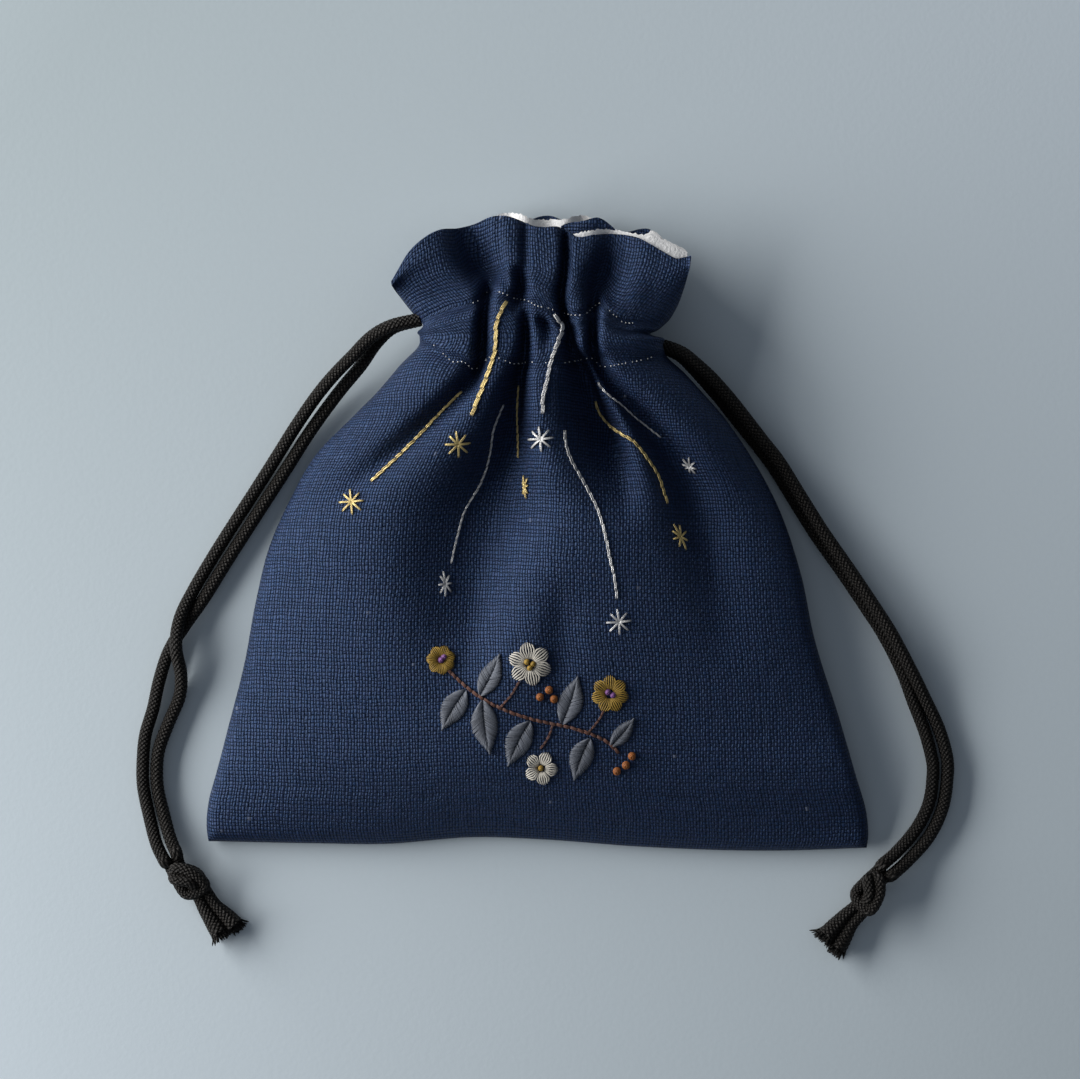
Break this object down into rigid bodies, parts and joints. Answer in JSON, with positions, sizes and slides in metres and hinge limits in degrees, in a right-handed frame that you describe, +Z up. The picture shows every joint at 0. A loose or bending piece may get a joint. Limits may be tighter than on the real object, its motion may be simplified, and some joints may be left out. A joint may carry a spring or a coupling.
{
  "type": "kinchaku drawstring pouch",
  "caption": "Lined linen drawstring pouch lying flat, gathered at the neck by two knotted cords, with an open frilled mouth.",
  "frame": {"origin": "centre of the bag's underside, at the height of the surface it lies on", "axes": "+X to the bag's right, along the bottom seam; +Y from the bottom seam to the mouth; +Z up, out of the front panel"},
  "size_m": [0.2226, 0.2038, 0.0242],
  "materials": {
    "linen": "navy plain-weave linen, coarse threads, matt",
    "lining": "white brushed cotton with a short nap",
    "braid": "black-brown round braided cotton cord"
  },
  "bodies": {
    "root": {"outer_front": "linen", "outer_back": "linen", "lining_front": "lining", "lining_back": "lining", "drawcord_left": "braid", "drawcord_right": "braid", "knot_left": "braid", "knot_right": "braid"}
  },
  "joints": []
}
